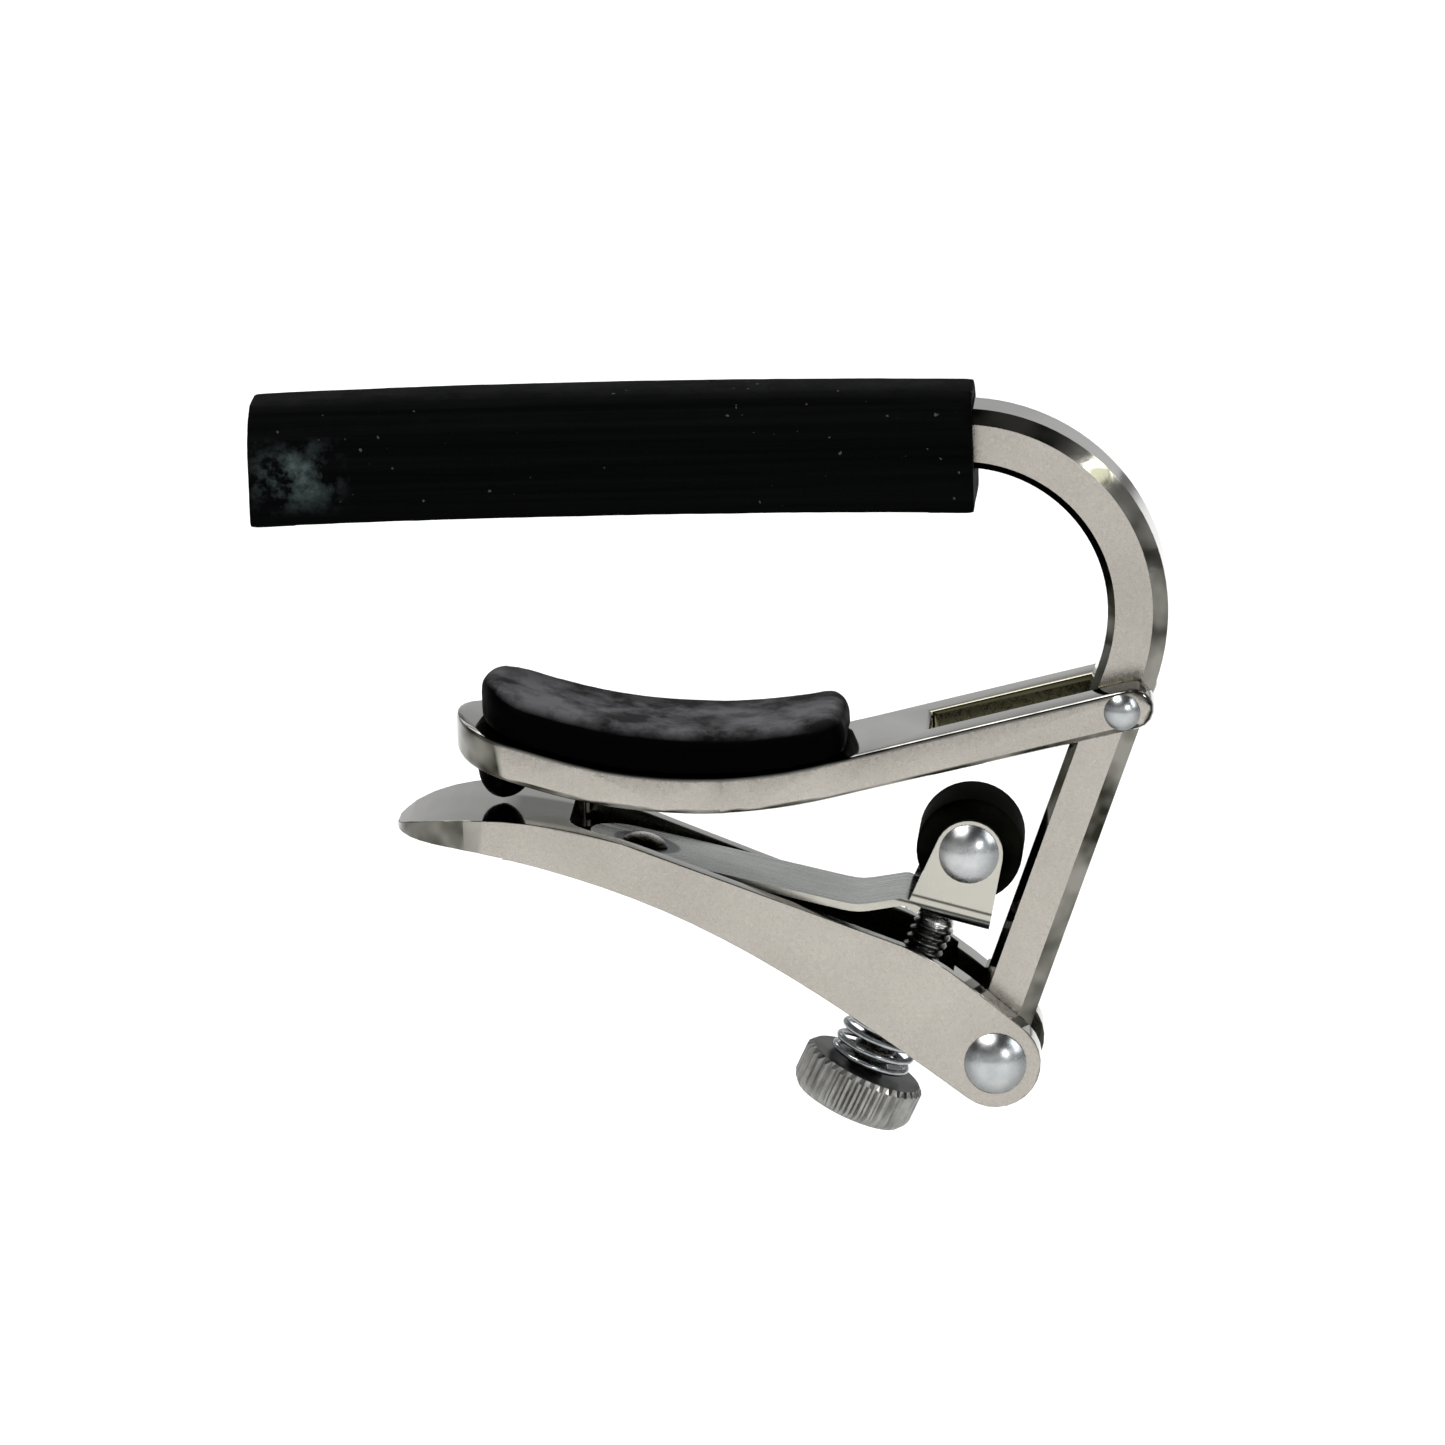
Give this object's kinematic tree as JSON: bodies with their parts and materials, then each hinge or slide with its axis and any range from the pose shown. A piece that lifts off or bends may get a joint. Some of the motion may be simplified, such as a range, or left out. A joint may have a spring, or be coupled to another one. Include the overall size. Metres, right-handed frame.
{
  "type": "guitar capo",
  "caption": "Guitar capo with a rubber-sleeved string bar, a padded neck arm on a forked hinge and an over-centre lever with a roller and a thumb screw",
  "frame": {"origin": "the middle of the sleeve's string face, where it presses on the strings", "axes": "X runs along the string bar towards its bend, Z points away from the strings, and the capo is symmetric about the XZ plane"},
  "size_m": [0.0727, 0.014, 0.0616],
  "materials": {
    "polished_nickel": "polished nickel plate",
    "stamped_strip": "stamped spring steel, satin",
    "knurled_metal": "dull nickel, straight knurl",
    "spring_wire": "drawn and turned steel",
    "sleeve_rubber": "black extruded rubber",
    "pad_rubber": "black moulded rubber",
    "roller_plastic": "black moulded plastic"
  },
  "bodies": {
    "bar": {"string_bar": "polished_nickel", "string_sleeve": "sleeve_rubber"},
    "arm": {"neck_arm": "polished_nickel", "neck_pad": "pad_rubber", "arm_rivet": "polished_nickel"},
    "lever": {"lock_lever": "polished_nickel", "lever_rivet": "polished_nickel", "carrier_rivet": "polished_nickel"},
    "carrier": {"roller_carrier": "stamped_strip", "roller_rivet": "polished_nickel"},
    "roller_body": {"roller": "roller_plastic"},
    "spring": {"screw_spring": "spring_wire"},
    "screw": {"adjusting_screw": "spring_wire", "thumb_knob": "knurled_metal"}
  },
  "joints": [
    {"name": "lever_pivot", "type": "hinge", "parent": "bar", "child": "lever", "pos_m": [0.02915, 0, -0.0454], "axis": [0, -1, 0], "range_deg": [0, 115]},
    {"name": "arm_swing", "type": "hinge", "parent": "bar", "child": "arm", "pos_m": [0.0401, 0, -0.0165], "axis": [0, -1, 0], "range_deg": [0, 7.2]},
    {"name": "carrier_tilt", "type": "hinge", "parent": "lever", "child": "carrier", "pos_m": [0.0014, 0, -0.02796], "axis": [0, 1, 0], "range_deg": [0, 2.2]},
    {"name": "roller_spin", "type": "hinge", "parent": "carrier", "child": "roller_body", "pos_m": [0.0275, 0, -0.0284], "axis": [0, 1, 0], "continuous": true},
    {"name": "screw_travel", "type": "slide", "parent": "lever", "child": "spring", "axis": [-0.4478, 0, -0.8942], "range_m": [0, 0.000875], "deforming": ["screw_spring"]},
    {"name": "screw_turn", "type": "hinge", "parent": "spring", "child": "screw", "pos_m": [0.01771, 0, -0.04847], "axis": [-0.4478, 0, -0.8942], "range_deg": [0, 455]}
  ],
  "couplings": [
    {"joint": "arm_swing", "follows": "lever_pivot", "ratio": 0.06},
    {"joint": "screw_turn", "follows": "screw_travel", "rad_per_m": 8976},
    {"joint": "carrier_tilt", "follows": "screw_travel", "rad_per_m": 40.96}
  ]
}
